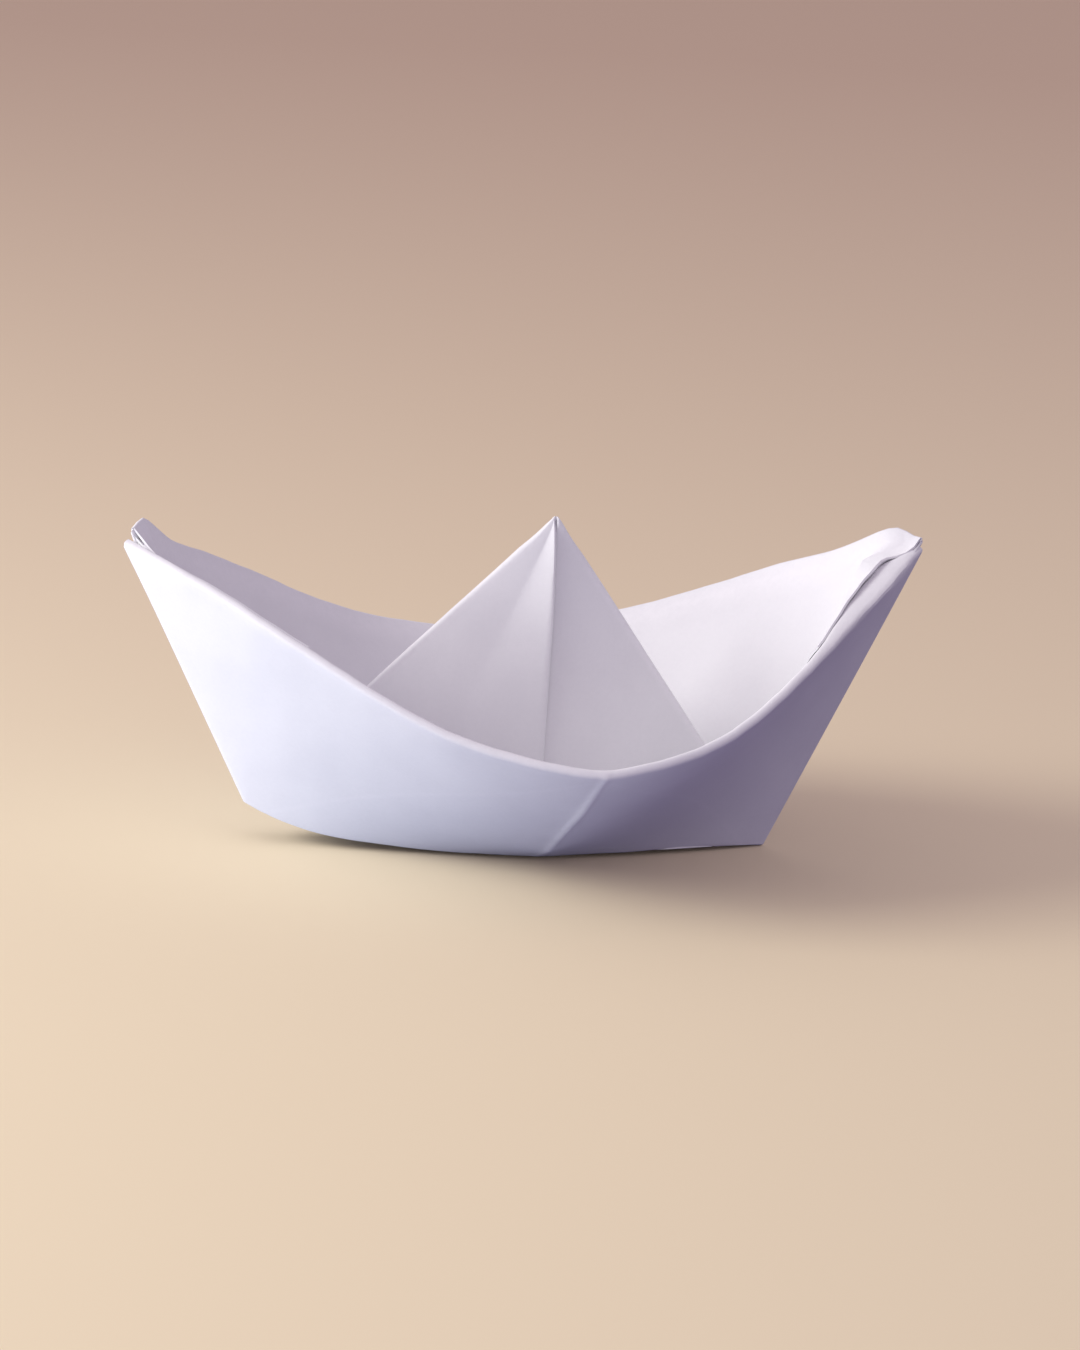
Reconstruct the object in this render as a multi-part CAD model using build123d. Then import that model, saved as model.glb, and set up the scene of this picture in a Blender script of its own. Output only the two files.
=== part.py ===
from build123d import *
import os

# A paper sailboat folded from one small sheet: two hull sides that flare open,
# and between them the sail, a thin peak that is hollow from below.
# X runs from the bow to the stern, Y from the near side to the far side, Z up.
# The origin is the middle of the boat's length, on the ground. Millimetres.

# The paper, and how many layers of it lie in each panel
ply = 0.12
near_wall_plies = 3
far_wall_plies = 1
near_sail_plies = 3
far_sail_plies = 1
flap_plies = 2

# The brim that is folded over each gunwale and pressed to the hull side inside.
# Its raw edge springs off the sheet under it. The corners of the pressed fold are
# cut by a share of the layers folded there.
brim_depth = 11.0
brim_spring = 1.6
brim_lift = 0.25
fold_corner_share = 0.25

# Length and heights
half_length = 19.7
middle_x = 0.9
bow_height = 14.5
stern_height = 15.4
middle_height = 7.2

# The gunwale's half width and height at its middle, and at a third and two
# thirds of the way from there to each tip
half_beam = 12.8
fore_third_width = 11.3
fore_third_height = 8.2
fore_two_thirds_width = 7.4
fore_two_thirds_height = 11.4
aft_third_width = 11.0
aft_third_height = 8.4
aft_two_thirds_width = 6.6
aft_two_thirds_height = 11.9

# The two keel creases, which run from the bow's bottom corner to the stern's
# and part around the opening under the sail. The bend of a crease puts the foot
# of the hull side that much outside the foot of the sail.
keel_fore = 12.8
keel_aft = 13.0
keel_bend = 0.1
opening_half_width = 2.1
crease_fullness = 1.7

# The bow's bottom corner stands off the ground
bow_corner_rise = 1.7
rise_start = 0.25
rise_power = 2.5

# The sail's peak
sail_height = 15.7
sail_x = 1.1
sail_y = 0.35
peak_width = 0.5

# The slit down the near face of the sail, between the two corner flaps, and the
# bow flap's edge, which stands off the sheet there
slit_width = 0.14
flap_lift = 0.3
flap_lift_height = 9.0
flap_lift_at_foot = 0.01
flap_lift_at_peak = 0.12
flap_lift_reach = 0.4

# The brim ends, tucked in between the hull sides, rise to a corner at each tip.
# Their foot stands inboard of the edge, where the hull sides leave them room.
tuck_plies = 4
tuck_width = 2.7
tuck_corner = 1.2
bow_tuck_rise = 0.8
stern_tuck_rise = 0.5
tuck_heel = 1.1
tuck_foot = 1.0

# How far a panel runs on past a crease before it is trimmed
overrun = 0.3

# Where the hull side's sections lie, from the middle out to a tip, and the step
# that gives the direction of its run there
hull_stations = (0, 0.2, 0.4, 0.6, 0.8, 1)
direction_step = 0.02
# Where the sail's outline and the bow's rise have their points
outline_stations = (0, 0.35, 0.7, 1)
rise_stations = (1, 0.85, 0.7, 0.55, 0.4)

NEAR = -1
FAR = 1

# The sail's layers are pressed together at its peak, with no space between them.
sail_stack = (near_sail_plies + far_sail_plies) * ply
near_sail_width = opening_half_width + near_sail_plies * ply
far_sail_width = opening_half_width + far_sail_plies * ply
peak_scale = peak_width / (keel_fore + keel_aft)
peak_flare = sail_stack / (near_sail_width + far_sail_width) / peak_scale


def gunwale_points(tip_x, values):
    """Points evenly spaced along the boat from the gunwale's middle to one tip."""
    steps = len(values) - 1
    points = []
    for step, (width, height) in enumerate(values):
        x = middle_x + (tip_x - middle_x) * step / steps
        points.append((x, width, height))
    return points


fore_points = gunwale_points(
    -half_length,
    [
        (half_beam, middle_height),
        (fore_third_width, fore_third_height),
        (fore_two_thirds_width, fore_two_thirds_height),
        (0, bow_height),
    ],
)
aft_points = gunwale_points(
    half_length,
    [
        (half_beam, middle_height),
        (aft_third_width, aft_third_height),
        (aft_two_thirds_width, aft_two_thirds_height),
        (0, stern_height),
    ],
)
gunwale = Spline(*reversed(fore_points), *aft_points[1:])
gunwale_middle = gunwale.param_at_point(fore_points[0])
apex = Vector(sail_x, sail_y, sail_height)


def gunwale_point(s, side):
    """The outer edge of one gunwale, s from -1 at the bow to 1 at the stern."""
    if s < 0:
        place = gunwale_middle * (1 + s)
    else:
        place = gunwale_middle + (1 - gunwale_middle) * s
    point = gunwale @ place
    return Vector(point.X, side * point.Y, point.Z)


def ground_point(s, side, half_width):
    """The sail's outline on the ground, a lens with a corner at each end."""
    reach = keel_aft - middle_x
    if s < 0:
        # The raised corner is carried on down to the ground, away from the peak.
        corner_run = sail_x + keel_fore
        corner_run *= sail_height / (sail_height - bow_corner_rise)
        reach = middle_x - sail_x + corner_run
    width = half_width * (1 - abs(s) ** crease_fullness)
    return Vector(middle_x + s * reach, side * width, 0)


def crease_rise(s):
    """How far the keel crease stands off the ground, which is at the bow only."""
    if s > -rise_start:
        return 0
    return bow_corner_rise * ((-s - rise_start) / (1 - rise_start)) ** rise_power


def keel_point(s, side):
    """The crease where a hull side turns up into the sail."""
    plies = near_sail_plies if side == NEAR else far_sail_plies
    ground = ground_point(s, side, opening_half_width + plies * ply + keel_bend)
    return ground + (apex - ground) * (crease_rise(s) / sail_height)


def wall_section(s, side):
    """A hull side cut from keel crease to gunwale, with the brim folded over it.

    The layers are pressed together from the fold down to the brim's last stretch,
    where its raw edge springs off by brim_lift.
    """
    plies = near_wall_plies if side == NEAR else far_wall_plies
    wall = plies * ply
    stack = wall + ply
    keel = keel_point(s, side)
    top = gunwale_point(s, side)
    # The direction is taken towards the middle, so that it never passes a tip.
    toward = -1 if s > 0 else 1
    beside = s + toward * direction_step
    run = (gunwale_point(beside, side) + keel_point(beside, side) - top - keel) * toward
    up = (top - keel).normalized()
    inward = up.cross(run).normalized() * -side
    height = (top - keel).length
    plane = Plane(origin=keel, x_dir=up, z_dir=up.cross(inward))
    corner = stack * fold_corner_share
    raw_edge = height - brim_depth
    outline = Polyline(
        (-overrun, 0),
        (height - corner, 0),
        (height, corner),
        (height, stack - corner),
        (height - corner, stack),
        (raw_edge + brim_spring, stack),
        (raw_edge, stack + brim_lift),
        (raw_edge, wall + brim_lift),
        (raw_edge + brim_spring, wall),
        (-overrun, wall),
        close=True,
    )
    return plane * make_face(outline)


def hull_side(side):
    """One side of the hull from bow to stern, cut off at the boat's middle plane."""
    fore = loft([wall_section(-s, side) for s in reversed(hull_stations)])
    aft = loft([wall_section(s, side) for s in hull_stations])
    keep = Keep.TOP if side == NEAR else Keep.BOTTOM
    return split(fore + aft, Plane.XZ, keep=keep)


def lens_points(side, end, width, scale, centre):
    """One of the four edges of the sail's outline, from its middle to a corner."""
    points = []
    for s in outline_stations:
        point = ground_point(end * s, side, width) - Vector(middle_x, 0, 0)
        points.append(centre + point * scale)
    return points


def lens(near_width, far_width, scale, centre):
    """The sail's outline at one height, with a corner at each end."""
    edges = []
    for side, width in ((NEAR, near_width), (FAR, far_width)):
        for end in (-1, 1):
            edges.append(Spline(*lens_points(side, end, width, scale, centre)))
    return make_face(edges)


def sail_peak():
    """The sail's outer faces: a peak with folded edges fore and aft."""
    base = lens(near_sail_width, far_sail_width, 1, Vector(middle_x, 0, 0))
    near_peak = near_sail_width * peak_flare
    far_peak = far_sail_width * peak_flare
    peak = lens(near_peak, far_peak, peak_scale, apex)
    return loft([base, peak], ruled=True)


def lens_ring(width, scale, centre):
    """The outline of the space inside the sail, as a ring of straight edges."""
    ring = []
    for side, end in ((NEAR, 1), (FAR, 1), (FAR, -1), (NEAR, -1)):
        points = lens_points(side, end, width, scale, centre)
        ring += points[:-1] if side * end < 0 else points[:0:-1]
    return ring


def sail_hollow():
    """The space inside the sail, open to the ground, with flat facets."""
    middle = Vector(middle_x, 0, 0)
    # The two faces close on each other at the peak and at the ends, where the
    # space stops once it is as narrow as the sheets are thick.
    top_share = 1 - sail_stack / (2 * opening_half_width)
    end_slope = opening_half_width * crease_fullness / keel_fore
    scale = 1 - sail_stack / 2 / end_slope / keel_fore
    width = opening_half_width / scale
    base = lens_ring(width, scale, middle)
    peak = lens_ring(width, peak_scale / 2, middle + (apex - middle) * top_share)
    facets = [make_face(Polyline(*base, close=True)), make_face(Polyline(*peak, close=True))]
    for place in range(len(base)):
        low, next_low = base[place - 1], base[place]
        high, next_high = peak[place - 1], peak[place]
        facets.append(make_face(Polyline(low, next_low, next_high, high, close=True)))
    return Solid(Shell(facets))


def below_the_keel():
    """All that lies under the keel creases: the ground, and the bow's rise."""
    # Deeper than any panel that runs on past its crease, and wider than the boat
    deep = -4 * overrun
    wide = 2 * half_beam
    rise = []
    for s in (*rise_stations, rise_start):
        point = keel_point(-s, NEAR)
        rise.append((point.X, 0, point.Z))
    bow_x = -2 * half_length
    profile = Spline(*rise) + Polyline(
        rise[-1],
        (2 * half_length, 0, 0),
        (2 * half_length, 0, deep),
        (bow_x, 0, deep),
        (bow_x, 0, rise[0][2]),
        rise[0],
    )
    return extrude(make_face(profile), amount=wide, both=True)


def near_face_point(s, height, depth):
    """A point on the near face of the sail, or that far under its surface."""
    ground = ground_point(s, NEAR, near_sail_width)
    top = ground_point(s, NEAR, near_sail_width * peak_flare) - Vector(middle_x, 0, 0)
    top = apex + top * peak_scale
    return ground + (top - ground) * (height / sail_height) + Vector(0, depth, 0)


def slit():
    """The narrow slit between the corner flaps, down to the main sheet."""
    flap = flap_plies * ply
    foot = near_face_point(0, 0, 0)
    top = near_face_point(0, sail_height, 0)
    plane = Plane(origin=foot, x_dir=top - foot, z_dir=(1, 0, 0))
    length = (top - foot).length
    outline = Pos(length / 2, 0) * Rectangle(2 * length, 2 * flap)
    return extrude(plane * outline, amount=slit_width / 2, both=True)


def flap_wedge(top_depth, edge_depth, far_depth):
    """A wedge along the slit's bow side, thickest at flap_lift_height.

    The depths are those of its two corners at the slit and of its thin end.
    """
    lifts = [
        (0, flap_lift_at_foot),
        (flap_lift_height, flap_lift),
        (sail_height, flap_lift_at_peak),
    ]
    sections = []
    for height, lift in lifts:
        slit_top = near_face_point(0, height, top_depth - lift)
        slit_foot = near_face_point(0, height, edge_depth)
        thin_end = near_face_point(-flap_lift_reach, height, far_depth)
        sections.append(make_face(Polyline(slit_top, slit_foot, thin_end, close=True)))
    return loft(sections, ruled=True)


def tuck(tip, keel_corner, rise):
    """The brim ends at one tip, pressed flat in the boat's middle plane."""
    stack = tuck_plies * ply
    inboard = Vector(-1 if tip.X > 0 else 1, 0, 0)
    down = (keel_corner - tip).normalized()
    outline = Polyline(
        tip,
        tip + inboard * tuck_corner + Vector(0, 0, rise),
        tip + inboard * tuck_width,
        tip + down * brim_depth + inboard * tuck_foot,
        tip + down * tuck_heel,
        close=True,
    )
    return extrude(make_face(outline), amount=stack / 2, both=True)


flap = flap_plies * ply
bow = Vector(-half_length, 0, bow_height)
stern = Vector(half_length, 0, stern_height)
boat = hull_side(NEAR) + hull_side(FAR) + sail_peak()
boat += flap_wedge(0, flap / 2, flap / 2)
boat += tuck(bow, Vector(-keel_fore, 0, bow_corner_rise), bow_tuck_rise)
boat += tuck(stern, Vector(keel_aft, 0, 0), stern_tuck_rise)
boat -= flap_wedge(flap, flap, flap)
boat -= slit()
boat -= sail_hollow()
boat -= below_the_keel()

os.makedirs("parts", exist_ok=True)
export_step(boat, "parts/folded_paper_boat.step")
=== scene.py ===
import math

import bpy
import numpy as np
from mathutils import Matrix, Vector


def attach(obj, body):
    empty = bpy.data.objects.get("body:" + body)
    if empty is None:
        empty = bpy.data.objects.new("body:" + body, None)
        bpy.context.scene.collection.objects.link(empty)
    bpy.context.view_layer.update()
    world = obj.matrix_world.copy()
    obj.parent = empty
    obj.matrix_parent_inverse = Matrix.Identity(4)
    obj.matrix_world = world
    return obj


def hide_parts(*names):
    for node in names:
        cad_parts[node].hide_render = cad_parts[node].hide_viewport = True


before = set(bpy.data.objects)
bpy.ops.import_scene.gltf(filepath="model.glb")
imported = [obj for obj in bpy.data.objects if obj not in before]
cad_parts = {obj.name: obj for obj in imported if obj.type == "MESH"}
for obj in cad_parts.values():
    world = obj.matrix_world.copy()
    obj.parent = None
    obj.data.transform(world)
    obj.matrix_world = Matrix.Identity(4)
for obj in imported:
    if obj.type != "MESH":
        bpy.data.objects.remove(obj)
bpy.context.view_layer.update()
MM = 0.001

# The flat sheet, in millimetres. A point on it has d, its distance from the sheet's
# middle counted square by square, and u, its place along that square's side, from -1
# to 1. Folded, the middle is the sail's peak, d = KEEL the creases that the boat
# stands on and d = HALF the gunwales. The front half of the sheet lies on the near
# side, and the back half on the far side.
SHEET_WIDTH = 52.0
SHEET_LENGTH = 74.0
HALF = SHEET_WIDTH / 2
BRIM = SHEET_LENGTH / 2 - HALF
KEEL = 13.6
PAPER = 0.095
NEAR = -1
FAR = 1
BOW = -1
STERN = 1

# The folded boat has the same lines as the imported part: the peak, the keel creases,
# which part round an opening and rise at the bow, and the gunwales' outer edge.
MIDDLE_X = 0.9
APEX = np.array([1.1, 0.35, 15.7])
KEEL_FORE = 12.8
KEEL_AFT = 13.0
OPENING = {NEAR: 2.33, FAR: 2.2}
FULLNESS = 1.7
BOW_RISE = 1.7
RISE_START = 0.25
RISE_POWER = 2.5
RIM = np.array([
    (-19.7, 0.0, 14.5),
    (-12.83, 7.4, 11.4),
    (-5.97, 11.3, 8.2),
    (0.9, 12.8, 7.2),
    (7.17, 11.0, 8.4),
    (13.43, 6.6, 11.9),
    (19.7, 0.0, 15.4),
])
RIM_MIDDLE = 3
# How far under that edge the layers end, and how round the keel crease is
FOLD_DROP = {NEAR: 0.23, FAR: 0.17}
CREASE_RADIUS = 0.3

# How deep each layer's middle lies under the boat's outer skin, on the near wall and
# on the far wall
FRONT = (0.06, 0.06)
FRONT_FLAP = (0.18, 0.06)
BACK_FLAP = (0.30, 0.06)
BACK = (0.30, 0.06)
FRONT_BRIM = (0.43, 0.18)
BACK_BRIM = (0.56, 0.31)
OUTER_LAYER = 0.12

# The layers come together in the peak, which is drawn out to a point.
PEAK_CLOSING = 0.3
PEAK_DEPTH = 0.12
PEAK_POINT = 0.25
PEAK_REACH = 1.3

# The hull's middle crease stands out as a ridge, by a share that changes with d, and
# the outer skin has a narrow pressed crest on it.
RIDGE = 0.55
RIDGE_REACH = 2.6
RIDGE_ROUND = 0.2
RIDGE_AT = [KEEL, KEEL + 2.5, 22, HALF]
RIDGE_SHARE = [0, 0.8, 1, 0.5]
CREST = 0.105
CREST_WIDTH = 0.2

# The two corner flaps meet in a narrow slit, and their edges spring off there, by a
# share that changes with d.
SLIT = 0.075
SLIT_MOST = 0.9
FLAP_LIFT = {BOW: 0.5, STERN: 0.03}
FLAP_AT = [0, 1, 3.5, 9, KEEL, HALF]
FLAP_SHARE = [0.3, 0.7, 1, 0.5, 0.1, 0.1]
FLAP_REACH = 0.45
FLAP_POWER = 1.5

# The layers are drawn in to the bow and stern edges over END_REACH, and over
# END_RISE on the sail above the keel crease.
END_REACH = 1.6
END_RISE = 1.2

# At each tip the front half has slid down and the back half has slid up, and the
# back half's corner stands up there.
TIP_SLIDE = {
    ("front", BOW): (0.12, 0.0, -0.35),
    ("back", BOW): (0.3, 0.0, 0.2),
    ("front", STERN): (-0.2, 0.0, -0.4),
    ("back", STERN): (0.0, 0.0, 0.02),
}
SLIDE_REACH = 3.0
SLIDE_POWER = 1.5
WRAP_REACH = 1.5
CORNER_RISE = 0.75
CORNER_PLACE = {BOW: 24.9, STERN: 24.3}
CORNER_WIDTH = {BOW: 0.85, STERN: 1.2}
CORNER_TAIL = {BOW: 2.4, STERN: 2.6}
CORNER_FROM = 21.0
CORNER_REACH = 5.0

# The innermost layer cuts the narrow end between the hull sides off with a small
# facet, which goes FACET_DEPTH down before it fades.
FACET = {BOW: 0.45, STERN: 0.95}
FACET_REACH = 1.35
FACET_DEPTH = 1.7
FACET_FADE = 4.0

# Near the stern the pressed brims spring open by PUFF, from OPEN_FROM along the
# square's side and from PUFF_FROM outwards, and close again at the tip. The near one
# sags, so its fold tilts inwards. At both tips the back half's brim is pinched.
PUFF = 0.75
PUFF_FROM = 15.0
PUFF_REACH = 7.0
PUFF_FAR_SHARE = 0.4
OPEN_FROM = 13.0
OPEN_REACH = 9.0
OPEN_TIP = 0.6
OPEN_TIP_REACH = 2.0
SAG = 0.5
SAG_REACH = 6.0
PINCH = 0.72
PINCH_REACH = 2.4

# A fold bulges by FOLD_ROUND at most. Near the peak that is less, down to a share of
# it. A gunwale's fold is a flat band, whose lines are FOLD_STEP apart on the sheet.
FOLD_ROUND = 0.2
PEAK_ROUND_REACH = 1.5
PEAK_ROUND_SHARE = 0.1
FOLD_LINES = 7
FOLD_FLATNESS = 0.6
FOLD_STEP = 0.15
BELOW_FOLD = 0.5

# A brim's raw edge stands off the wall by BRIM_LIFT, and the brim lies on it again
# BRIM_SPRING further up.
BRIM_LIFT = 0.25
BRIM_SPRING = 1.6
BRIM_END_REACH = 2.0

# The paper's unevenness: long waves over a whole wall, and small ones that grow
# towards the gunwale. A wave has its radians per millimetre along x and y and its
# start, and a long one has its share too.
WAVE = 0.05
WAVE_START = 6.0
LONG_WAVES = (
    (0.31, 0.17, 1.3, 1.0),
    (0.47, -0.29, 0.4, 1.0),
    (0.83, 0.61, 2.1, 0.6),
    (1.27, -0.9, 4.0, 0.4),
)
SMALL_WAVES = ((2.1, 0.7, 0.0), (-0.9, 1.7, 0.5))
LONG_SHARE = 0.5
SMALL_SHARE = 0.35
SMALL_LEAST = 0.4
SMALL_FROM = 23.0
SMALL_REACH = 3.0

# The lines of the grid that the sheet is divided into. Across it they are close at
# its ends, which wrap round the tips, and beside the middle crease. Outwards, at each
# d, they are close at the peak and round the keel crease.
END_STEP = BRIM / 20
END_LINES = np.arange(HALF - BRIM, HALF + END_STEP / 2, END_STEP)
INNER_LINES = np.linspace(-(HALF - BRIM), HALF - BRIM, 41)[1:-1]
CREST_LINES = np.array([-0.45, -0.3, -0.2, -0.1, 0.1, 0.2, 0.3, 0.45])
LINES = np.sort(np.concatenate([-END_LINES, INNER_LINES, CREST_LINES, END_LINES]))
ROWS = np.concatenate([
    [0, 0.05, 0.12, 0.22, 0.35, 0.5, 0.7, 1.0, 1.4],
    np.linspace(2, KEEL - CREASE_RADIUS, 20),
    KEEL + CREASE_RADIUS * np.array([-0.6, -0.2, 0.2, 0.6]),
    np.linspace(KEEL + CREASE_RADIUS, HALF, 24),
])
FLAP_LINES = 31

# Small steps: along u for a direction, and inwards of a strip's end
ALONG_STEP = 0.01
INWARD_STEP = 0.04
NO_LENGTH = 1e-9
NO_AREA = 1e-12
ROUNDING = 1e-6
# The flat sheet's millimetres in one unit of the UV
UV_UNIT = 100.0
# In metres and degrees
MERGE_DISTANCE = 2e-7
SHARP_ANGLE = 40


def unit(v):
    return v / np.maximum(np.linalg.norm(v, axis=-1, keepdims=True), NO_LENGTH)


def dot(a, b):
    return np.sum(a * b, axis=-1, keepdims=True)


def ease(t):
    """A soft step from 0 to 1."""
    t = np.clip(t, 0, 1)
    return t * t * (3 - 2 * t)


def from_tip(x, d):
    """How far a place on the flat sheet lies from the corner that becomes a tip."""
    return np.hypot(HALF - d, HALF - x)


def spline(points, middle, u):
    """A natural cubic curve through the points.

    u is -1 at the first point, 0 at the middle one and 1 at the last, and goes by the
    length of the straight runs in between.
    """
    steps = np.linalg.norm(np.diff(points, axis=0), axis=1)
    knots = np.concatenate([[0], np.cumsum(steps)])
    count = len(points)
    system = np.eye(count)
    right = np.zeros((count, 3))
    for i in range(1, count - 1):
        system[i, i - 1:i + 2] = steps[i - 1], 2 * (steps[i - 1] + steps[i]), steps[i]
        before = (points[i] - points[i - 1]) / steps[i - 1]
        after = (points[i + 1] - points[i]) / steps[i]
        right[i] = 6 * (after - before)
    bend = np.linalg.solve(system, right)
    length = np.interp(u, [-1, 0, 1], knots[[0, middle, -1]])
    k = np.clip(np.searchsorted(knots, length, side="right") - 1, 0, count - 2)
    run = steps[k][..., None]
    a = (knots[k + 1] - length)[..., None] / run
    b = 1 - a
    straight = a * points[k] + b * points[k + 1]
    return straight + ((a ** 3 - a) * bend[k] + (b ** 3 - b) * bend[k + 1]) * run ** 2 / 6


def rim(u, side):
    """The outer edge of a gunwale, u from -1 at the bow to 1 at the stern."""
    return spline(RIM, RIM_MIDDLE, u) * np.array([1, side, 1])


def crease(u, side):
    """The keel crease, where a hull side turns up into the sail."""
    # How far from the peak the sail's bow edge, drawn on down, meets the ground
    corner = (APEX[0] + KEEL_FORE) * APEX[2] / (APEX[2] - BOW_RISE)
    reach = np.where(u < 0, MIDDLE_X - APEX[0] + corner, KEEL_AFT - MIDDLE_X)
    ground = np.stack([
        MIDDLE_X + u * reach,
        side * OPENING[side] * (1 - np.abs(u) ** FULLNESS),
        np.zeros_like(u),
    ], axis=-1)
    rise = np.clip((-u - RISE_START) / (1 - RISE_START), 0, 1) ** RISE_POWER
    return ground + (APEX - ground) * (BOW_RISE / APEX[2] * rise)[..., None]


def fold_edge(u, side):
    """Where the layers of a hull side end, a little under the gunwale's edge."""
    foot, top = crease(u, side), rim(u, side)
    return top - unit(top - foot) * FOLD_DROP[side]


def faces_in(u, side):
    """The sail's and the hull side's directions from their outer skin to the layers."""
    low, high = np.clip(u - ALONG_STEP, -1, 1), np.clip(u + ALONG_STEP, -1, 1)
    foot, top = crease(u, side), rim(u, side)
    run = crease(high, side) - crease(low, side)
    sail = unit(np.cross(APEX - foot, run))
    sail *= np.sign(sail[..., 1:2]) * side
    run = run + rim(high, side) - rim(low, side)
    hull = unit(np.cross(top - foot, run))
    hull *= -np.sign(hull[..., 1:2]) * side
    return sail, hull


def waves(u, d, side):
    """Small unevenness of the whole wall, the same for every layer in it."""
    x, y = u * d, d * side
    long = sum(
        share * np.sin(along * x + across * y + start)
        for along, across, start, share in LONG_WAVES
    )
    small = 1.0
    for along, across, start in SMALL_WAVES:
        small = small * np.sin(along * x + across * y + start)
    rough = SMALL_LEAST + np.clip((d - SMALL_FROM) / SMALL_REACH, 0, 1)
    height = WAVE * (LONG_SHARE * long + SMALL_SHARE * small * rough)
    return height * np.clip(d / WAVE_START, 0, 1)


def layer(u, d, side, depth):
    """A layer's place, with depth counted from the outer skin, and no edges yet."""
    u, d = np.broadcast_arrays(np.asarray(u, float), np.asarray(d, float))
    sail, hull = faces_in(u, side)
    foot, top = crease(u, side), fold_edge(u, side)
    mitre = foot + depth * (sail + hull) / (1 + dot(sail, hull))
    open_share = np.sqrt(np.clip(d / PEAK_CLOSING, 0, 1))[..., None]
    peak_depth = -side * PEAK_DEPTH + (depth + side * PEAK_DEPTH) * open_share

    def panel(at):
        down = np.clip(at / KEEL, 0, 1)[..., None]
        up = np.clip((at - KEEL) / (HALF - KEEL), 0, 1)[..., None]
        on_sail = (1 - down) * (APEX + peak_depth * sail) + down * mitre
        on_hull = (1 - up) * mitre + up * (top + depth * hull)
        return np.where(at[..., None] < KEEL, on_sail, on_hull)

    turn = np.clip((d - KEEL + CREASE_RADIUS) / (2 * CREASE_RADIUS), 0, 1)[..., None]
    bent = (
        (1 - turn) ** 2 * panel(np.full_like(d, KEEL - CREASE_RADIUS))
        + 2 * turn * (1 - turn) * mitre
        + turn ** 2 * panel(np.full_like(d, KEEL + CREASE_RADIUS))
    )
    in_crease = (np.abs(d - KEEL) < CREASE_RADIUS)[..., None]
    place = np.where(in_crease, bent, panel(d))
    face = np.where(d[..., None] < KEEL, sail, hull)
    place = place + face * waves(u, d, side)[..., None]
    point = PEAK_POINT * np.clip(1 - d / PEAK_REACH, 0, 1) ** 2
    place = place + np.array([0, 0, 1]) * point[..., None]
    ridge = RIDGE * np.exp(-np.hypot(u * d, RIDGE_ROUND) / RIDGE_REACH)[..., None]
    crest = CREST * np.exp(-(u * d / CREST_WIDTH) ** 2)[..., None]
    ridge = ridge + np.where(depth < OUTER_LAYER, crest, 0)
    return place - hull * ridge * np.interp(d, RIDGE_AT, RIDGE_SHARE)[..., None]


def crossing(end, d, near_depth, far_depth):
    """Where a layer passes the bow or stern edge between the two hull sides."""
    u = np.full_like(d, float(end))
    foot, top = crease(u, NEAR), fold_edge(u, NEAR)
    up = ((d - KEEL) / (HALF - KEEL))[..., None]
    near, far = faces_in(u, NEAR)[1], faces_in(u, FAR)[1]
    lean = dot(near, far)
    along_near = (near_depth - lean * far_depth) / (1 - lean ** 2)
    along_far = (far_depth - lean * near_depth) / (1 - lean ** 2)
    return foot + (top - foot) * up + along_near * near + along_far * far


def opened(u, d):
    """How fully a brim has sprung open at the stern, from 0 to 1."""
    x = np.abs(u) * d
    return ease((x - OPEN_FROM) / OPEN_REACH) * ease((from_tip(x, d) - OPEN_TIP) / OPEN_TIP_REACH)


def depths_at(u, d, depths, half, brim):
    """A layer's depth on the near and the far wall, where brims puff and pinch."""
    near_depth, far_depth = (np.full(d.shape + (1,), float(v)) for v in depths)
    if not brim:
        return near_depth, far_depth
    if half == "back":
        pinch = PINCH * np.exp(-(from_tip(np.abs(u) * d, d) / PINCH_REACH) ** 2)[..., None]
        near_depth = near_depth + (BACK[0] - near_depth) * pinch
        far_depth = far_depth + (BACK[1] - far_depth) * pinch
    puff = np.where(u < 0, 0, PUFF) * opened(u, d) * ease((d - PUFF_FROM) / PUFF_REACH)
    puff = puff[..., None]
    return near_depth + puff, far_depth + puff * PUFF_FAR_SHARE


def corner_point(end, u, d):
    """How much the back half's corner stands up at a tip."""
    off = end * u * d - CORNER_PLACE[end]
    width = np.where(off < 0, CORNER_TAIL[end], CORNER_WIDTH[end])
    rise = CORNER_RISE * np.exp(-(off / width) ** 2)
    return rise * ease((d - CORNER_FROM) / CORNER_REACH)


def facet_cut(end, away, d):
    """How far the innermost layer lies inwards of a tip's edge."""
    under = HALF - np.maximum(d, KEEL)
    cut = FACET[end] * np.clip(1 - away / FACET_REACH, 0, 1)
    return cut * ease(under / FACET_DEPTH) * (1 - ease((under - FACET_DEPTH) / FACET_FADE))


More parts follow.
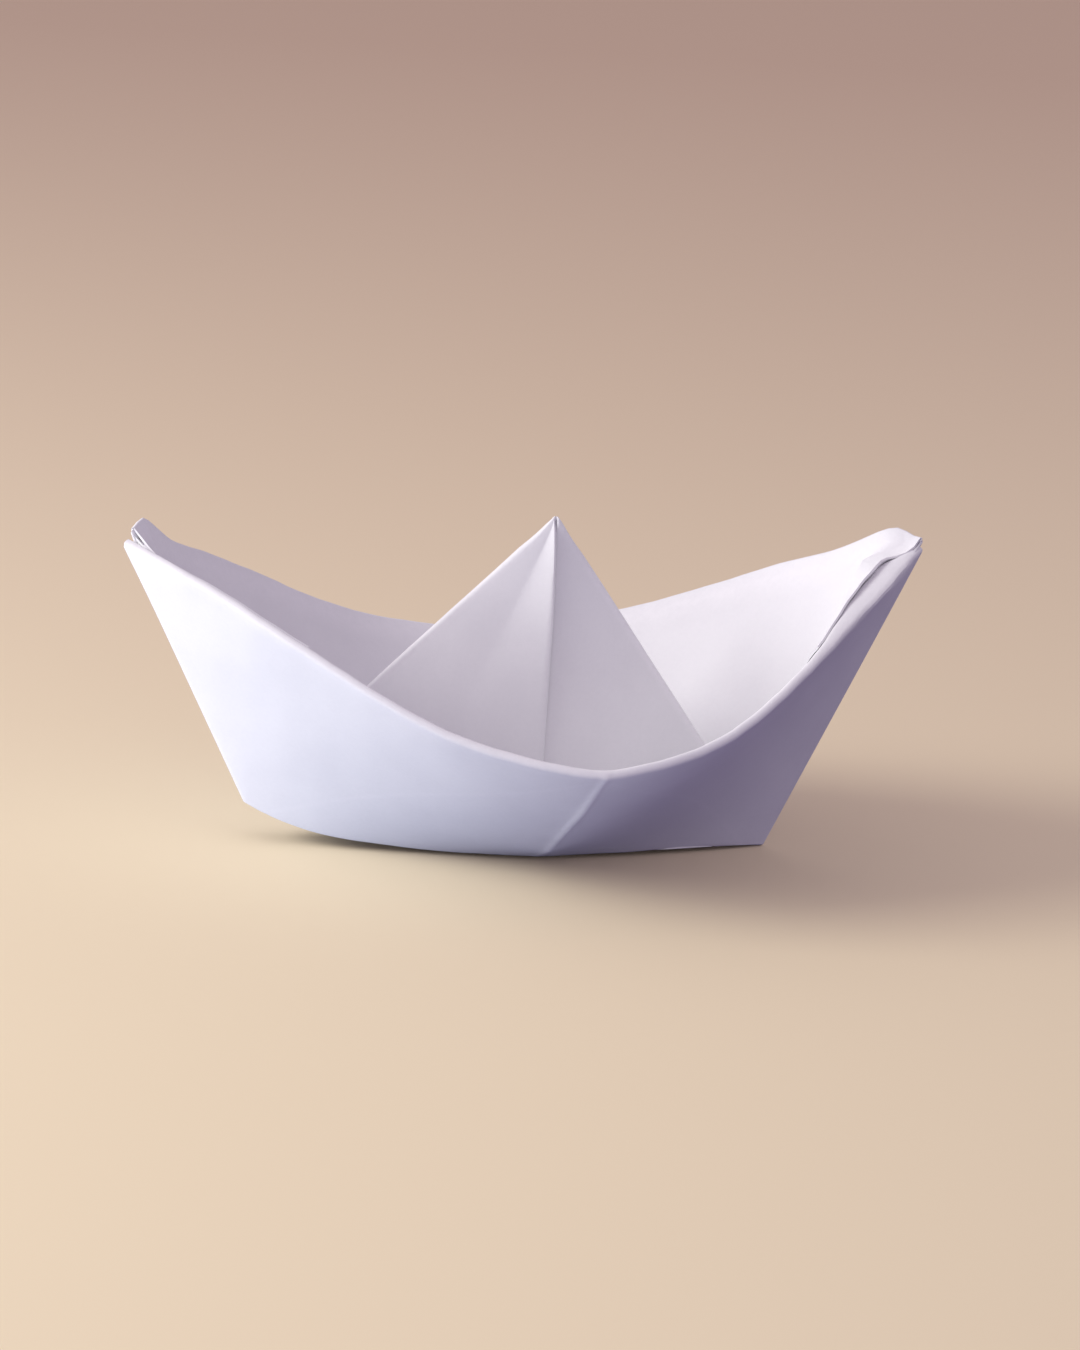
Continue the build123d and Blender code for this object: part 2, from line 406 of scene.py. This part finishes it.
def placed(u, d, side, depths, half, brim=False):
    """A layer's place with its ends drawn in to the bow and stern edges."""
    wrapped = half == "back" and side == NEAR
    u, d = np.broadcast_arrays(np.asarray(u, float), np.asarray(d, float))
    low = np.maximum(d, KEEL)
    near_depth, far_depth = depths_at(u, d, depths, half, brim)
    place = layer(u, d, side, near_depth if side == NEAR else far_depth)
    for end in (BOW, STERN):
        edge = np.full_like(d, end)
        edge_near, edge_far = depths_at(edge, low, depths, half, brim)
        edge_depth = edge_near if side == NEAR else edge_far
        shift = crossing(end, low, edge_near, edge_far) - layer(edge, low, side, edge_depth)
        shift = shift * np.exp(-np.maximum(KEEL - d, 0) / END_RISE)[..., None]
        away = d * (1 - end * u) / math.sqrt(2)
        place = place + shift * np.exp(-away / END_REACH)[..., None]
        # Off the edge, the back half's flap slides with the front half that it lies on.
        with_front = ease(away / WRAP_REACH)[..., None] if wrapped else 0.0
        slide = np.array(TIP_SLIDE[half, end]) * (1 - with_front)
        slide = slide + np.array(TIP_SLIDE["front", end]) * with_front
        near_tip = np.exp(-(from_tip(end * u * d, d) / SLIDE_REACH) ** SLIDE_POWER)
        place = place + slide * near_tip[..., None]
        if half == "back" and side == FAR:
            place = place + np.array([0, 0, 1]) * corner_point(end, u, d)[..., None]
        if half == "back" and brim:
            place = place - np.array([end, 0, 0]) * facet_cut(end, away, d)[..., None]
    if half == "front" and brim:
        sag = np.where(u < 0, 0, SAG) * opened(u, d) * np.clip(1 - (HALF - d) / SAG_REACH, 0, 1)
        place = place + unit(crease(u, side) - rim(u, side)) * sag[..., None]
    return place


def flap(u, d, depths, half):
    """A corner flap on the near side, with its edge at the slit sprung off."""
    place = placed(u, d, NEAR, depths, half)
    sail, hull = faces_in(u, NEAR)
    face = np.where(d[..., None] < KEEL, sail, hull)
    lift = np.where(u < 0, FLAP_LIFT[BOW], FLAP_LIFT[STERN]) * np.interp(d, FLAP_AT, FLAP_SHARE)
    lift = lift * np.clip(1 - np.abs(u) / FLAP_REACH, 0, 1) ** FLAP_POWER
    return place + face * lift[..., None]


def round_fold(first, last, behind, count, most, flatness=1.0):
    """The rounded fold between two layers' edges, without the edges themselves.

    It bulges away from behind, a place on the first layer, by no more than most. It is
    half an ellipse, and with a flatness under 1 a band with two tight bends.
    """
    out = first - behind
    across = first - last
    out = out - across * dot(out, across) / np.maximum(dot(across, across), NO_AREA)
    reach = np.linalg.norm(across, axis=-1, keepdims=True) / 2
    out = unit(out) * np.minimum(reach, most)
    lines = []
    for k in range(count):
        turn = math.pi * (k + 1) / (count + 1)
        aside = math.copysign(abs(math.cos(turn)) ** flatness, math.cos(turn))
        bulge = math.sin(turn) ** flatness
        lines.append((first + last) / 2 + across / 2 * aside + out * bulge)
    return lines


def ring():
    """The sheet's square middle: the sail and the hull sides, once round."""
    d = ROWS
    slit = np.minimum(SLIT / np.maximum(d, NO_LENGTH), SLIT_MOST)

    def panel(side, depths, half):
        def line(u):
            return placed(u, d, side, depths, half), u * d, -side * d
        return line

    def corner_flap(end, depths, half):
        def line(share):
            u = end * (slit + (1 - slit) * share)
            y = np.abs(u) * d if half == "front" else -np.abs(u) * d
            return flap(u, d, depths, half), end * d, y
        return line

    # Each strip's lines, in order, and how many lines its fold to the next one has
    across = LINES / HALF
    inward, outward = np.linspace(1, 0, FLAP_LINES), np.linspace(0, 1, FLAP_LINES)
    strips = [
        (panel(NEAR, FRONT, "front"), across, 3),
        (corner_flap(STERN, FRONT_FLAP, "front"), inward, 4),
        (corner_flap(STERN, BACK_FLAP, "back"), outward, 5),
        (panel(FAR, BACK, "back"), across[::-1], 5),
        (corner_flap(BOW, BACK_FLAP, "back"), inward, 4),
        (corner_flap(BOW, FRONT_FLAP, "front"), outward, 3),
    ]
    most = FOLD_ROUND * np.clip(d / PEAK_ROUND_REACH, PEAK_ROUND_SHARE, 1)[:, None]
    places, flat = [], []

    def add(place, x, y):
        places.append(place)
        flat.append(np.stack([np.broadcast_to(x, d.shape), np.broadcast_to(y, d.shape)], axis=-1))

    for k, (line, at, folds) in enumerate(strips):
        for share in at:
            add(*line(share))
        next_line, next_at, _ = strips[(k + 1) % len(strips)]
        edge, x, y = line(at[-1])
        behind = line(at[-1] + INWARD_STEP * np.sign(at[0] - at[-1]))[0]
        for place in round_fold(edge, next_line(next_at[0])[0], behind, folds, most):
            add(place, x, y)
    places.append(places[0])
    flat.append(flat[0])
    return np.stack(places, axis=1), np.stack(flat, axis=1)


def brim(side):
    """A brim, folded back over its gunwale, with its ends wrapped round the tips."""
    near = side == NEAR
    half = "front" if near else "back"
    wall, depths = (FRONT, FRONT_BRIM) if near else (BACK, BACK_BRIM)
    top = np.full_like(LINES, HALF)
    outer = placed(LINES / HALF, top, side, wall, half)
    inner = placed(LINES / HALF, top, side, depths, half, brim=True)
    below = placed(LINES / HALF, top - BELOW_FOLD, side, wall, half)
    fold = round_fold(outer, inner, below, FOLD_LINES, FOLD_ROUND, FOLD_FLATNESS)
    places = [outer, *fold, inner]
    heights = [top + FOLD_STEP * k for k in range(len(places))]
    for d in END_LINES[-2::-1]:
        down = np.full_like(LINES, d)
        u = np.clip(LINES / d, -1, 1)
        here = placed(u, down, side, depths, half, brim=True)
        spring = BRIM_LIFT * max(0, 1 - (d - END_LINES[0]) / BRIM_SPRING) ** 2
        from_end = np.clip((d - np.abs(LINES)) / BRIM_END_REACH, 0, 1)
        here = here + faces_in(u, side)[1] * (spring * from_end)[..., None]
        # Past the tip's fold, the brim runs on along the other side's wall.
        past = np.maximum(np.abs(LINES), d)
        there = placed(np.sign(LINES) * d / past, past, -side, depths, half, brim=True)
        on_own_side = (np.abs(LINES) <= d + ROUNDING)[:, None]
        places.append(np.where(on_own_side, here, there))
        heights.append(2 * HALF - down)
    y = np.stack(heights) * -side
    return np.stack(places), np.stack([np.broadcast_to(LINES, y.shape), y], axis=-1)


def deselect():
    bpy.ops.object.select_all(action="DESELECT")


def paper_grid(name, places, flat):
    """A grid laid out over one part of the sheet and folded to its places."""
    down, across = places.shape[:2]
    deselect()
    bpy.ops.mesh.primitive_grid_add(
        x_subdivisions=across - 1, y_subdivisions=down - 1, size=1, calc_uvs=True
    )
    piece = bpy.context.object
    piece.name = piece.data.name = name
    mesh = piece.data
    start = np.empty(len(mesh.vertices) * 3)
    mesh.vertices.foreach_get("co", start)
    start = start.reshape(-1, 3)
    column = np.rint((start[:, 0] + 0.5) * (across - 1)).astype(int)
    row = np.rint((start[:, 1] + 0.5) * (down - 1)).astype(int)
    mesh.vertices.foreach_set("co", (places[row, column] * MM).ravel())
    corner = np.empty(len(mesh.loops), dtype=int)
    mesh.loops.foreach_get("vertex_index", corner)
    uv = flat[row, column][corner] / UV_UNIT
    mesh.uv_layers[0].data.foreach_set("uv", uv.ravel())
    mesh.update()
    return piece


def split_wrap(piece, down, across):
    """Divides the faces that the tips' folds cross along those folds."""
    first_row = down - len(END_LINES)
    for end, diagonal in ((BOW, "FIXED"), (STERN, "FIXED_ALTERNATE")):
        deselect()
        piece.select_set(True)
        bpy.context.view_layer.objects.active = piece
        bpy.ops.object.mode_set(mode="EDIT")
        bpy.ops.mesh.select_all(action="DESELECT")
        bpy.ops.object.mode_set(mode="OBJECT")
        for face in piece.data.polygons:
            if len(face.vertices) < 4:
                continue
            column = min(v % across for v in face.vertices)
            row = min(v // across for v in face.vertices) - first_row
            from_end = column if end == BOW else across - 2 - column
            face.select = row >= 0 and from_end == row
        bpy.ops.object.mode_set(mode="EDIT")
        bpy.ops.mesh.quads_convert_to_tris(quad_method=diagonal, ngon_method="BEAUTY")
        bpy.ops.object.mode_set(mode="OBJECT")


def fold_boat():
    """The whole sheet as one piece with the paper's thickness."""
    pieces = [paper_grid("paper_boat", *ring())]
    for side, name in ((NEAR, "front_brim"), (FAR, "back_brim")):
        places, flat = brim(side)
        piece = paper_grid(name, places, flat)
        split_wrap(piece, *places.shape[:2])
        pieces.append(piece)
    deselect()
    for piece in pieces:
        piece.select_set(True)
    bpy.context.view_layer.objects.active = pieces[0]
    bpy.ops.object.join()
    boat = bpy.context.object
    bpy.ops.object.mode_set(mode="EDIT")
    bpy.ops.mesh.select_all(action="SELECT")
    bpy.ops.mesh.remove_doubles(threshold=MERGE_DISTANCE)
    bpy.ops.mesh.normals_make_consistent(inside=False)
    bpy.ops.object.mode_set(mode="OBJECT")
    wall = boat.modifiers.new("thickness", "SOLIDIFY")
    wall.thickness = PAPER * MM
    wall.offset = 0
    bpy.ops.object.modifier_apply(modifier=wall.name)
    bpy.ops.object.shade_smooth_by_angle(angle=math.radians(SHARP_ANGLE))
    return boat


class Value:
    """A number socket that takes part in Python expressions."""

    def __init__(self, tree, socket):
        self.tree, self.socket = tree, socket

    def math(self, operation, first, second=None):
        node = self.tree.nodes.new("ShaderNodeMath")
        node.operation = operation
        for place, value in enumerate((first, second)):
            if isinstance(value, Value):
                self.tree.links.new(value.socket, node.inputs[place])
            elif value is not None:
                node.inputs[place].default_value = value
        return Value(self.tree, node.outputs[0])

    def __add__(self, other):
        return self.math("ADD", self, other)

    __radd__ = __add__

    def __sub__(self, other):
        return self.math("SUBTRACT", self, other)

    def __rsub__(self, other):
        return self.math("SUBTRACT", other, self)

    def __mul__(self, other):
        return self.math("MULTIPLY", self, other)

    __rmul__ = __mul__

    def __truediv__(self, other):
        return self.math("DIVIDE", self, other)

    def __rtruediv__(self, other):
        return self.math("DIVIDE", other, self)

    def __abs__(self):
        return self.math("ABSOLUTE", self)

    def most(self, other):
        return self.math("MAXIMUM", self, other)

    def clamped(self):
        return self.math("MINIMUM", self.most(0.0), 1.0)


class Finish:
    """A node material for one of the object's surfaces."""

    # A mix node's sockets for two colours and the colour between them
    FIRST_COLOUR = 6
    SECOND_COLOUR = 7
    MIXED_COLOUR = 2

    def __init__(self, name):
        self.material = bpy.data.materials.new(name)
        self.material.use_nodes = True
        self.tree = self.material.node_tree
        self.shader = self.tree.nodes["Principled BSDF"]

    def node(self, kind, settings=None, **sockets):
        node = self.tree.nodes.new(kind)
        for name, value in (settings or {}).items():
            if name == "stops":
                self.set_stops(node.color_ramp, value)
            else:
                setattr(node, name, value)
        for name, value in sockets.items():
            self.feed(node.inputs[name.replace("_", " ")], value)
        return node

    def set_stops(self, ramp, stops):
        while len(ramp.elements) < len(stops):
            ramp.elements.new(1)
        for element, (place, colour) in zip(ramp.elements, stops):
            element.position = place
            element.color = (*colour, 1)

    def feed(self, socket, value):
        if isinstance(value, Value):
            self.tree.links.new(value.socket, socket)
        elif isinstance(value, bpy.types.NodeSocket):
            self.tree.links.new(value, socket)
        else:
            socket.default_value = value

    def value(self, node, output=0):
        return Value(self.tree, node.outputs[output])

    def blend(self, factor, first, second):
        """A colour between two others, as the output of a mix node."""
        mix = self.node("ShaderNodeMix", {"data_type": "RGBA"}, Factor=factor)
        self.feed(mix.inputs[self.FIRST_COLOUR], first)
        self.feed(mix.inputs[self.SECOND_COLOUR], second)
        return mix.outputs[self.MIXED_COLOUR]

    def put(self, **sockets):
        for name, value in sockets.items():
            self.feed(self.shader.inputs[name.replace("_", " ")], value)


# The paper's colours, and that of its creases, which are lighter from wear and from a painted
# highlight
PAPER_DULL = (0.80, 0.80, 0.81)
PAPER_BRIGHT = (0.86, 0.86, 0.865)
PAPER_WORN_AND_HIGHLIT = (0.92, 0.91, 0.92, 1)
# How much of the paper's tone is cloud, where the rest is fibre, and how high the
# fibre, the cloud and the creases stand in its bump
CLOUD_TONE = 0.7
FIBRE_BUMP = 0.5
CLOUD_BUMP = 0.35
CREASE_BUMP = 0.5
# How much lighter a crease is, from wear and a painted highlight, how much of that is broken up,
# and how sharply
CREASE_WEAR_AND_HIGHLIGHT = 0.5
BROKEN_SHARE = 0.6
BROKEN_CONTRAST = 2.2
BROKEN_FROM = 0.5
PAPER_ROUGHNESS = 0.72
FIBRE_ROUGHNESS = 0.15
# Where the gunwale's crease lies on the flat sheet, and how far each crease shows
GUNWALE_CREASE = HALF + 0.6
GUNWALE_WIDTH = 1.1
TIP_WIDTH = 0.35
MIDDLE_WIDTH = 0.3
CORNER_FOLD_WIDTH = 0.35
CORNER_FOLD_SHARE = 0.4


def white_paper():
    """Uncoated white paper, with a soft cloud, fibres and creases that are lighter from wear and
    from a painted highlight.
    """
    paper = Finish("white_paper")
    coords = paper.node("ShaderNodeTexCoord")
    around = coords.outputs["Object"]

    def noise(**sockets):
        return paper.value(paper.node("ShaderNodeTexNoise", Vector=around, **sockets))

    cloud = noise(Scale=180.0, Detail=3.0, Roughness=0.55)
    fibre = noise(Scale=5200.0, Detail=4.0, Roughness=0.6)
    wear = noise(Scale=2600.0, Detail=2.0)
    tone = cloud * CLOUD_TONE + fibre * (1 - CLOUD_TONE)
    stops = {"stops": [(0.3, PAPER_DULL), (0.7, PAPER_BRIGHT)]}
    colour = paper.node("ShaderNodeValToRGB", stops, Fac=tone)
    sheet = paper.node("ShaderNodeSeparateXYZ", Vector=coords.outputs["UV"])
    x, y = abs(paper.value(sheet, 0) * UV_UNIT), abs(paper.value(sheet, 1) * UV_UNIT)

    def crease_line(away, width):
        return (1 - abs(away) / width).most(0.0)

    gunwales = crease_line(y - GUNWALE_CREASE, GUNWALE_WIDTH)
    tips = crease_line(x - y, TIP_WIDTH)
    middle = crease_line(x, MIDDLE_WIDTH)
    corner_folds = crease_line(x + y - HALF, CORNER_FOLD_WIDTH) * CORNER_FOLD_SHARE
    creases = gunwales.most(tips).most(middle).most(corner_folds)
    broken = (wear * BROKEN_CONTRAST - BROKEN_FROM).clamped()
    # Painted highlight: the creases are painted lighter, partly as wear and partly as the light
    # that their folds catch.
    worn_and_highlit = creases * (broken * BROKEN_SHARE + (1 - BROKEN_SHARE))
    grain = fibre * FIBRE_BUMP + cloud * CLOUD_BUMP + worn_and_highlit * CREASE_BUMP
    bump = paper.node("ShaderNodeBump", Strength=0.35, Distance=0.00004, Height=grain)
    paper.put(
        Base_Color=paper.blend(worn_and_highlit * CREASE_WEAR_AND_HIGHLIGHT, colour.outputs["Color"], PAPER_WORN_AND_HIGHLIT),
        Roughness=PAPER_ROUGHNESS + fibre * FIBRE_ROUGHNESS,
        Normal=bump.outputs["Normal"],
        Specular_IOR_Level=0.3,
    )
    return paper.material


# The soft lamps, with lengths in metres. Azimuth 0 is the near side and -90 the bow.
LAMPS = {
    "key_light": {
        "azimuth": -88, "elevation": 28, "distance": 0.24, "size": (0.14, 0.1),
        "power": 0.385, "colour": (1.0, 0.99, 0.96),
    },
    "side_light": {
        "azimuth": -66, "elevation": 3, "distance": 0.25, "size": (0.1, 0.04),
        "power": 0.1, "colour": (1.0, 0.99, 0.98),
    },
}
LAMP_AIM = Vector((0, 0, 0.008))
WORLD_COLOUR = (0.94, 0.82, 1.0, 1)
WORLD_STRENGTH = 0.55


def lamp_place(lamp):
    turn, lift = math.radians(lamp["azimuth"]), math.radians(lamp["elevation"])
    level = math.cos(lift)
    way = Vector((math.sin(turn) * level, -math.cos(turn) * level, math.sin(lift)))
    return way * lamp["distance"]


def add_lamp(name, lamp):
    """A soft lamp at its place round the boat, aimed at it."""
    place = lamp_place(lamp)
    deselect()
    bpy.ops.object.light_add(type="AREA", location=place)
    light = bpy.context.object
    light.name = name
    light.data.shape = "RECTANGLE"
    light.data.size, light.data.size_y = lamp["size"]
    light.data.energy = lamp["power"]
    light.data.color = lamp["colour"]
    light.rotation_euler = (LAMP_AIM - place).to_track_quat("-Z", "Y").to_euler()


def light_the_room():
    """A pale world all round, at a plain level."""
    world = bpy.context.scene.world or bpy.data.worlds.new("studio")
    bpy.context.scene.world = world
    world.use_nodes = True
    background = world.node_tree.nodes["Background"]
    background.inputs["Color"].default_value = WORLD_COLOUR
    background.inputs["Strength"].default_value = WORLD_STRENGTH


# The floor. The light that it throws at the boat changes from cool to dark over
# THROWN_REACH millimetres along x, and its shown colour darkens from the front to the
# back over BACK_REACH millimetres along y, a painted falloff of the light.
FLOOR_SIZE = 4.0
THROWN_COOL = (0.82, 0.90, 1.0, 1)
THROWN_DARK = (0.18, 0.15, 0.28, 1)
THROWN_FROM = -12.0
THROWN_REACH = 19.0
SHOWN_FRONT = (0.91, 0.79, 0.54, 1)
SHOWN_BACK_SHADED = (0.73, 0.56, 0.39, 1)
BACK_FROM = -30.0
BACK_REACH = 280.0
BLACK = (0.0, 0.0, 0.0, 1)
# Where the lamps throw more than EVEN_FROM times the light that they throw at the
# boat's foot, the floor is darker, and EVEN_SHARE says by how much.
EVEN_FROM = 1.7
EVEN_SHARE = 0.5


def light_on_floor(x, y):
    """How much light the lamps throw on the floor at x, y in millimetres."""
    total = 0.0
    for lamp in LAMPS.values():
        place = lamp_place(lamp)
        axis = (LAMP_AIM - place).normalized()
        place = place / MM
        half_height = lamp["size"][1] / MM / 2
        along = x - place.x
        across = y - place.y
        reach = along * axis.x + across * axis.y - place.z * axis.z
        apart = along * along + across * across + place.z ** 2 + half_height ** 2
        total = total + reach * lamp["power"] * place.z / (apart * apart)
    return total


def floor_finish():
    """A plain pale floor that throws a cool light up at the boat's lit side only, with painted
    shade towards its back.
    """
    finish = Finish("plain_floor")
    path = finish.node("ShaderNodeLightPath")
    coords = finish.node("ShaderNodeTexCoord")
    place = finish.node("ShaderNodeSeparateXYZ", Vector=coords.outputs["Object"])
    x, y = finish.value(place, 0) / MM, finish.value(place, 1) / MM
    shaded = ((x - THROWN_FROM) / THROWN_REACH).clamped()
    thrown = finish.blend(shaded, THROWN_COOL, THROWN_DARK)
    pool = light_on_floor(x, y) / light_on_floor(0.0, 0.0)
    even = (pool - EVEN_FROM).most(0.0) * EVEN_SHARE + 1
    # Painted shade: the shown floor darkens towards the back, as the light falls off there.
    behind = ((y - BACK_FROM) / BACK_REACH).clamped()
    shown = finish.blend(behind, SHOWN_FRONT, SHOWN_BACK_SHADED)
    shown = finish.blend(1 - 1 / even, shown, BLACK)
    colour = finish.blend(path.outputs["Is Camera Ray"], thrown, shown)
    finish.put(Base_Color=colour, Roughness=0.9, Specular_IOR_Level=0.2)
    return finish.material


def add_floor():
    """A flat floor, wide enough to run out of every view."""
    deselect()
    bpy.ops.mesh.primitive_plane_add(size=FLOOR_SIZE, location=(0, 0, 0))
    floor = bpy.context.object
    floor.name = floor.data.name = "floor"
    floor.data.materials.append(floor_finish())
    return floor


# The photograph's standpoint and what the camera aims at, in millimetres, and the
# turns that give its up direction, in degrees
STANDPOINT = Vector((-68.667, -243.461, 75.078))
CAMERA_AIM = Vector((1.0, 0.0, 8.3))
CAMERA_YAW = 17.02
CAMERA_TILT = 18.0
CAMERA_ROLL = 5.82
CAMERA_LENS = 147.3


def add_camera():
    """The photograph's standpoint and tilt, aimed at the boat with a longer lens."""
    yaw, tilt, roll = (math.radians(a) for a in (CAMERA_YAW, CAMERA_TILT, CAMERA_ROLL))
    # The photograph's own up direction, turned back into the boat's axes
    along = Vector((math.sin(yaw), math.cos(yaw), 0))
    side = Vector((math.cos(yaw), -math.sin(yaw), 0))
    up = along * math.sin(tilt) + Vector((0, 0, math.cos(tilt)))
    up = up * math.cos(roll) - side * math.sin(roll)
    forward = (CAMERA_AIM - STANDPOINT).normalized()
    right = forward.cross(up).normalized()
    up = right.cross(forward)
    turn = Matrix((right, up, -forward)).transposed()
    deselect()
    bpy.ops.object.camera_add()
    camera = bpy.context.object
    camera.name = "camera"
    camera.matrix_world = Matrix.Translation(STANDPOINT * MM) @ turn.to_4x4()
    camera.data.lens = CAMERA_LENS
    camera.data.clip_start = 0.01
    camera.data.clip_end = 10
    bpy.context.scene.camera = camera


boat = fold_boat()
boat.data.materials.append(white_paper())
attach(boat, "root")
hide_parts("folded_paper_boat")

floor = add_floor()

for lamp_name, lamp in LAMPS.items():
    add_lamp(lamp_name, lamp)
light_the_room()
add_camera()
bpy.context.scene.view_settings.view_transform = "Standard"
